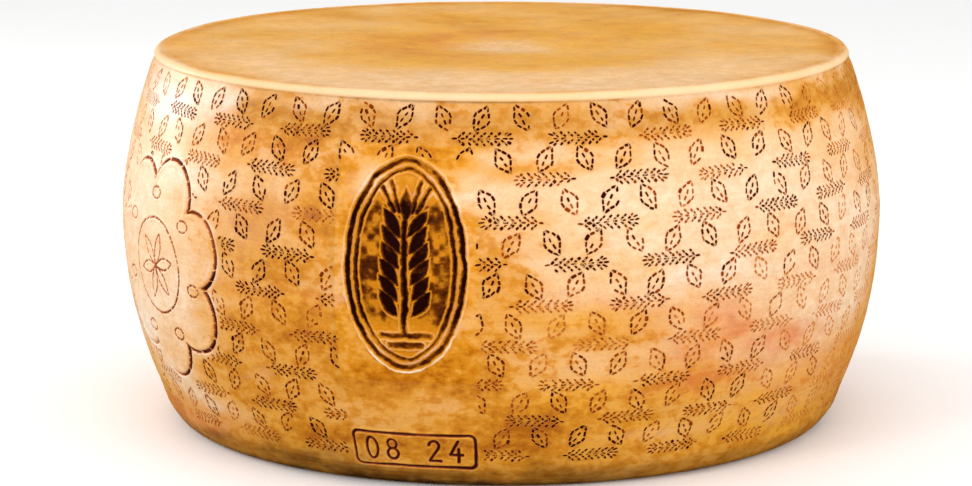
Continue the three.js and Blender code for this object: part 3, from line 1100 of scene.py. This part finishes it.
def inkOf(dashes, motifOf, rng):
    # How dark each dash is: darkest high up at the front, rust low down to the right, faded
    # towards both sides, with slow changes, each motif's own luck and each dash's own
    angle = dashes[:, 0] / bellyRadiusMm
    places = np.stack([np.sin(angle), -np.cos(angle), dashes[:, 1] / bellyRadiusMm], 1)
    height = alongProfile(dashes[:, 1] * mm, profile[:, 1]) / mm
    ink = 0.74 + 0.16 * cloud(places, 0.4, 51) + 0.22 * cloud(places, 0.1, 52)
    ink = ink - 0.4 * bell(height, 82, 27) * smoothStep(-0.2, 0.4, angle)
    ink = ink - 0.48 * bell(np.abs(angle), 1.2, 0.42) - 0.1 * smoothStep(120, 80, height)
    ink = ink + rng.normal(0, 0.11, motifOf.max() + 1)[motifOf]
    return ink + rng.normal(0, 0.11, len(dashes))


def dashPieces(name, dashes, ink, corners):
    # Two pieces from one set of dashes. Each dash is an oblong outline of a few corners in rings:
    # the lips run from under the rind up to a crest and down to the bed, the bed is a shallow
    # dish just over the rind. All rings are worked out at once.
    count = len(dashes)
    around = (np.arange(corners) + 0.5) / corners * 2 * math.pi
    oblong = np.stack([np.cos(around), np.sin(around)])
    oblong = np.sign(oblong) * np.abs(oblong) ** 0.6
    cosine, sine = np.cos(dashes[:, 2])[:, None, None], np.sin(dashes[:, 2])[:, None, None]
    depth = (0.55 + 0.45 * np.clip(ink, 0, 1))[:, None, None]
    cells = math.ceil(math.sqrt(count))
    cell = np.stack([np.arange(count) % cells, np.arange(count) // cells], 1)

    def ringPlaces(grow, lifts):
        grow = np.array(grow)[None, :, None]
        x = (dashes[:, 3, None, None] + grow) * oblong[0]
        y = (dashes[:, 4, None, None] + grow) * oblong[1]
        placeX = dashes[:, 0, None, None] + x * cosine - y * sine
        placeY = dashes[:, 1, None, None] + x * sine + y * cosine
        lift = np.broadcast_to(np.array(lifts)[None, :, None], placeX.shape)
        lift = np.where(lift > 0.06, lift * depth, lift)
        return rindSurface(placeX / bellyRadiusMm, placeY * mm, lift * mm), placeX / bellyRadiusMm

    def cellMap(spots, faces, perDash):
        # each dash's rings drawn flat, as seen from above, in a small square of its own
        return (cell[faces // perDash] + 0.5 + 0.44 * spots[faces % perDash]) / cells

    crest = dashRows["crestMm"]
    lips, lipAngle = ringPlaces((0.6, 0.2, -0.02), (-0.06, crest, 0.02))
    faces = (np.arange(count)[:, None, None] * 3 * corners + gridFaces(3, corners, True)[None]).reshape(-1, 4)
    spots = np.concatenate([oblong.T * share for share in (1.0, 0.72, 0.45)])
    fields, cornerMap = stainFields(lipAngle, lips), [cellMap(spots, faces, 3 * corners)]
    makePiece(name + "Lips", lips.reshape(-1, 3), [faces], rindPushedUp, fields, cornerMap)

    bed, _ = ringPlaces((0.12, -0.12), (crest * 0.55, 0.05))
    flat, _ = ringPlaces((-0.12,), (0.05,))
    perDash = 2 * corners + 1
    places = np.concatenate([bed.reshape(count, 2 * corners, 3), flat.mean(axis=2)], 1).reshape(-1, 3)
    first = np.arange(count)[:, None, None] * perDash
    quads = (first + gridFaces(2, corners, True)[None]).reshape(-1, 4)
    inner = np.arange(corners)
    fan = np.stack([corners + inner, corners + (inner + 1) % corners, np.full(corners, 2 * corners)], 1)
    triangles = (first + fan[None]).reshape(-1, 3)
    spots = np.concatenate([oblong.T, oblong.T * 0.6, [[0, 0]]])
    cornerMap = [cellMap(spots, quads, perDash), cellMap(spots, triangles, perDash)]
    makePiece(name + "Beds", places, [quads, triangles], markBed, {"ink": np.repeat(ink, perDash)}, cornerMap)


def makeRows(design):
    # Ears and leaves in rows that take turns up the side. Both are scattered first, then each
    # kind loses the dashes that aren't kept and is split into a front and a back half.
    rng = np.random.default_rng(design["seed"])
    lowest, highest = (lengthAtHeight(design[key] * mm) / mm for key in ("lowestMm", "highestMm"))
    earHeights = np.arange(lowest + design["firstEarMm"], highest, design["rowPitchMm"])
    centres, order = rowCentres(design["earPitchMm"], design["rowShiftMm"], earHeights, rng)
    lean = np.where(order % 2 == 0, 0.0, math.pi) + rng.normal(0, design["earLean"], len(centres))
    ears = scatterMotif(earDashes(), centres, lean, rng)
    leafHeights = earHeights + design["rowPitchMm"] / 2
    centres, order = rowCentres(design["leafPitchMm"], design["leafShiftMm"], leafHeights, rng)
    lean = np.where(order % 2 == 0, 1, -1) * design["leafTurn"]
    lean = lean + rng.normal(0, design["leafLean"], len(centres))
    leaves = scatterMotif(leafDashes(), centres, lean, rng)
    for name, (dashes, motifOf), corners in (("ear", ears, 6), ("leaf", leaves, 8)):
        kept = keptDashes(dashes, rng)
        ink = inkOf(dashes, motifOf, rng)[kept]
        dashes = dashes[kept]
        dashes[:, 3:5] *= (0.78 + 0.3 * np.clip(ink, 0, 1))[:, None]
        front = np.abs(dashes[:, 0]) < bellyRadiusMm * math.pi / 2
        for part, chosen in (("Front", front), ("Back", ~front)):
            dashPieces(name + part, dashes[chosen], ink[chosen], corners)
        print(name, "dashes:", len(dashes))


makeRows(dashRows)


studio = {
    "distanceMm": 1921.0,
    "elevation": 10.68,
    "lensMm": 130.5,
    "shift": (-0.01612, -0.0174),
    "world": 0.87,
    "worldInGloss": 0.08,
    "floorReach": 7.0,
}
softboxes = {
    # place, width and height, power, whether the rind's gloss shows it
    "keyLeft": ((-1.3, -1.6, 1.25), (0.6, 0.6), 8, True),
    "sideLeft": ((-1.42, 0.72, 0.42), (0.35, 0.7), 12, True),
    "fillRight": ((1.7, -1.0, 0.7), (1.0, 1.0), 8, False),
    "sideRight": ((1.6, 0.5, 0.45), (0.6, 0.9), 5, False),
    "overhead": ((0.0, -0.8, 1.8), (1.2, 1.2), 3.0, False),
    "frontLow": ((0.1, -2.4, 0.35), (1.6, 0.6), 11, False),
}


def makeFloor():
    # a pale floor that bounces little light back up at what stands on it
    material = bpy.data.materials.new("paleFloor")
    material.use_nodes = True
    bench, shader = nodeBench(material.node_tree), material.node_tree.nodes["Principled BSDF"]
    soft = bench.noise(bench.place(), 3, (1, 1, 1), 2, 0.5)
    pale = bench.mix(soft, linear((252, 251, 250)), linear((255, 255, 255)))
    path = bench.add("LightPath").outputs
    unseen = bench.mix(path["Is Glossy Ray"], linear((180, 172, 164)), linear((70, 62, 54)))
    bench.feed(shader.inputs["Base Color"], bench.mix(path["Is Camera Ray"], unseen, pale))
    shader.inputs["Roughness"].default_value = 0.9
    shader.inputs["Specular IOR Level"].default_value = 0.1
    mesh = bpy.data.meshes.new("paleFloor")
    reach = studio["floorReach"]
    corners = [(-reach, -reach, 0), (reach, -reach, 0), (reach, reach, 0), (-reach, reach, 0)]
    mesh.from_pydata(corners, [], [(0, 1, 2, 3)])
    mesh.materials.append(material)
    addObject("paleFloor", mesh)


def addSoftbox(name, place, size, power, inGloss):
    # a soft rectangle of light aimed at the middle of the wheel
    light = bpy.data.lights.new(name, "AREA")
    light.shape = "RECTANGLE"
    light.size, light.size_y = size
    light.energy = power
    lamp = addObject(name, light)
    lamp.location = place
    lamp.visible_glossy = inGloss
    aim = Vector((0, 0, wheelHeight / 2)) - Vector(place)
    lamp.rotation_euler = aim.to_track_quat("-Z", "Y").to_euler()


def makeCamera(design):
    # a long lens in front of the wheel, looking down at its middle by the elevation
    camera = bpy.data.cameras.new("camera")
    camera.lens = design["lensMm"]
    camera.sensor_width = 36
    camera.shift_x, camera.shift_y = design["shift"]
    camera.clip_end = 50
    holder = addObject("camera", camera)
    tilt = math.radians(design["elevation"])
    distance = design["distanceMm"] * mm
    holder.location = (0, -distance * math.cos(tilt), wheelHeight / 2 + distance * math.sin(tilt))
    holder.rotation_euler = (math.pi / 2 - tilt, 0, 0)
    bpy.context.scene.camera = holder


def makeWorld(design):
    # an even white room, dimmer in gloss so that the rind keeps its colour
    world = bpy.data.worlds.new("whiteRoom")
    bpy.context.scene.world = world
    world.use_nodes = True
    bench = nodeBench(world.node_tree)
    background = world.node_tree.nodes["Background"]
    background.inputs["Color"].default_value = (1, 1, 1, 1)
    gloss = bench.add("LightPath").outputs["Is Glossy Ray"]
    strength = bench.ramp(gloss, 0, 1, design["world"], design["worldInGloss"])
    bench.feed(background.inputs["Strength"], strength)


makeFloor()
makeCamera(studio)
makeWorld(studio)
for boxName, settings in softboxes.items():
    addSoftbox(boxName, *settings)
bpy.context.scene.view_settings.view_transform = "Standard"
print("studio made")
